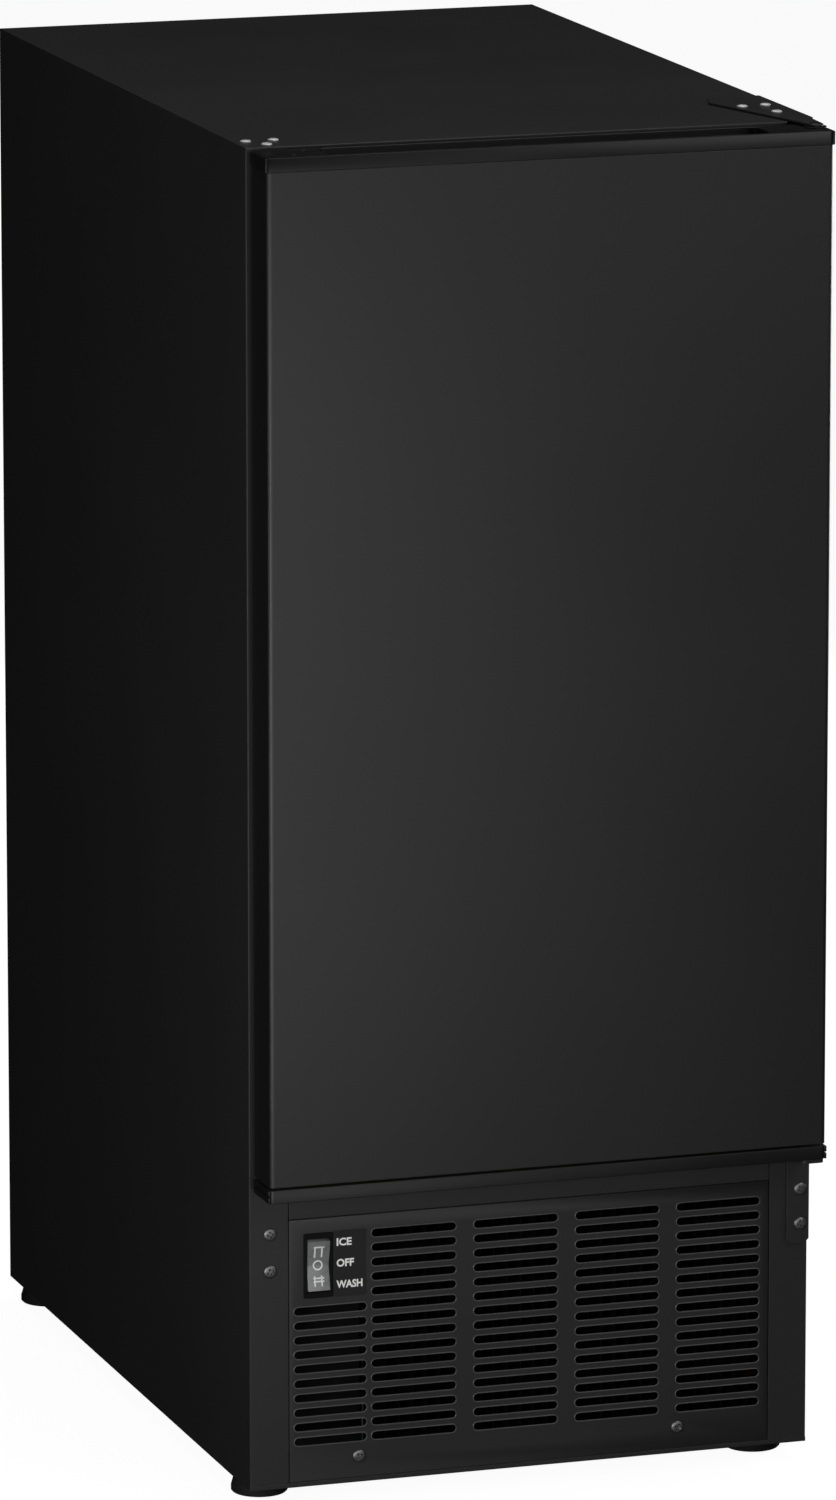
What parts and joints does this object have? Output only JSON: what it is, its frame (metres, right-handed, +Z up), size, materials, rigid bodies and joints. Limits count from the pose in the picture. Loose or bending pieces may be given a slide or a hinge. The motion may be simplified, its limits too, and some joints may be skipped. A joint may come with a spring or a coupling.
{
  "type": "ice maker",
  "caption": "Narrow undercounter ice maker: insulated cabinet with a right-hinged door, slotted lower grille, three-position rocker switch and levelling feet.",
  "frame": {"origin": "on the floor, under the centre of the cabinet and door together", "axes": "+X to the viewer's right, -Y towards the front (the door), +Z up"},
  "size_m": [0.371, 0.586, 0.8693],
  "materials": {
    "black_steel": "satin",
    "zinc_steel": "satin",
    "foam": "matte",
    "liner_plastic": "satin",
    "cap_plastic": "satin",
    "label_film": "satin",
    "smoke_plastic": "gloss",
    "screw_metal": "satin",
    "bushing_plastic": "satin",
    "gasket_rubber": "matte",
    "foot_plastic": "satin",
    "machine_black": "gloss",
    "fin_aluminium": "satin",
    "grey_plastic": "satin",
    "copper": "satin",
    "plated_metal": "satin",
    "clear_tube": "gloss"
  },
  "bodies": {
    "cabinet": {"base_pan": "zinc_steel", "bin_sensor": "copper", "cabinet_insulation": "foam", "cabinet_liner": "liner_plastic", "compressor": "machine_black", "compressor_grommets": "gasket_rubber", "condenser": "fin_aluminium", "control_box": "zinc_steel", "discharge_line": "copper", "drain_fittings": "grey_plastic", "drain_hose": "gasket_rubber", "evaporator_coil": "copper", "evaporator_frame": "grey_plastic", "evaporator_plate": "plated_metal", "fan_motor": "machine_black", "fan_motor_bracket": "zinc_steel", "fan_shroud": "grey_plastic", "filter_drier": "copper", "front_rail": "black_steel", "front_screws": "screw_metal", "grille_panel": "black_steel", "hinge_pins": "screw_metal", "hot_gas_lines": "copper", "hot_gas_valve": "grey_plastic", "left_side_panel": "black_steel", "line_sleeves": "bushing_plastic", "liquid_lines": "copper", "lower_hinge_bracket": "black_steel", "module_brackets": "zinc_steel", "power_inlet": "grey_plastic", "pump_body": "grey_plastic", "rear_panel": "zinc_steel", "rear_service_panel": "zinc_steel", "right_side_panel": "black_steel", "suction_line": "copper", "switch_housing": "cap_plastic", "switch_label": "label_film", "top_hinge_bracket": "black_steel", "top_panel": "black_steel", "top_screws": "screw_metal", "water_distributor": "grey_plastic", "water_inlet_valve": "grey_plastic", "water_trough": "grey_plastic", "water_tubes": "clear_tube"},
    "door": {"door_panel": "black_steel", "door_top_cap": "cap_plastic", "door_bottom_cap": "cap_plastic", "door_insulation": "foam", "door_liner": "liner_plastic", "door_gasket": "gasket_rubber", "door_bushings": "bushing_plastic", "door_hole_plugs": "cap_plastic"},
    "rocker": {"rocker": "smoke_plastic"},
    "fan": {"fan_blade": "grey_plastic"},
    "pump_rotor": {"pump_rotor": "grey_plastic"},
    "splash_curtain": {"splash_curtain": "grey_plastic"},
    "foot_front_left": {"foot_front_left": "foot_plastic"},
    "foot_front_right": {"foot_front_right": "foot_plastic"},
    "foot_rear_left": {"foot_rear_left": "foot_plastic"},
    "foot_rear_right": {"foot_rear_right": "foot_plastic"}
  },
  "joints": [
    {"name": "door_hinge", "type": "hinge", "parent": "cabinet", "child": "door", "pos_m": [0.177, -0.2765, 0.535], "axis": [0, 0, 1], "range_deg": [0, 115]},
    {"name": "rocker_tilt", "type": "hinge", "parent": "cabinet", "child": "rocker", "pos_m": [-0.1405, -0.252, 0.1561], "axis": [1, 0, 0], "range_deg": [-12, 12]},
    {"name": "fan_spin", "type": "hinge", "parent": "cabinet", "child": "fan", "pos_m": [0.03, -0.18, 0.09475], "axis": [0, 1, 0], "continuous": true},
    {"name": "pump_spin", "type": "hinge", "parent": "cabinet", "child": "pump_rotor", "pos_m": [0.115, 0.135, 0.56], "axis": [0, 0, 1], "continuous": true},
    {"name": "curtain_swing", "type": "hinge", "parent": "cabinet", "child": "splash_curtain", "pos_m": [-0.02, 0.097, 0.804], "axis": [-1, 0, 0], "range_deg": [0, 40]},
    {"name": "front_left_level", "type": "slide", "parent": "cabinet", "child": "foot_front_left", "axis": [0, 0, -1], "range_m": [0, 0.012]},
    {"name": "front_right_level", "type": "slide", "parent": "cabinet", "child": "foot_front_right", "axis": [0, 0, -1], "range_m": [0, 0.012]},
    {"name": "rear_left_level", "type": "slide", "parent": "cabinet", "child": "foot_rear_left", "axis": [0, 0, -1], "range_m": [0, 0.012]},
    {"name": "rear_right_level", "type": "slide", "parent": "cabinet", "child": "foot_rear_right", "axis": [0, 0, -1], "range_m": [0, 0.012]}
  ]
}
